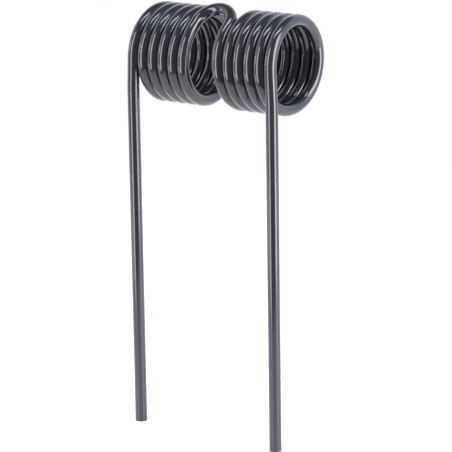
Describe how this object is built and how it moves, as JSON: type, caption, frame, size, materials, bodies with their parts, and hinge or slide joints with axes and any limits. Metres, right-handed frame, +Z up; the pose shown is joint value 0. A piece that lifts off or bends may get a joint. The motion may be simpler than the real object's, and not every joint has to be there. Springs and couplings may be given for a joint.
{
  "type": "baler pick-up tine",
  "caption": "Spring tine for a hay baler's pick-up: wound wire coils in line, a straight leg at each outer end, and a bow between them that hooks over a bolt.",
  "frame": {"origin": "centre of the bow's round end, on the line of the fixing bolt", "axes": "+X along the coils' common axis, +Z up along the straight legs with their tips at the bottom, -Y towards the side of the coils where the legs leave them"},
  "size_m": [0.0822, 0.0451, 0.1955],
  "materials": {
    "black_lacquer": "gloss black lacquer on spring steel wire"
  },
  "bodies": {
    "root": {"spring_tine": "black_lacquer"}
  },
  "joints": []
}
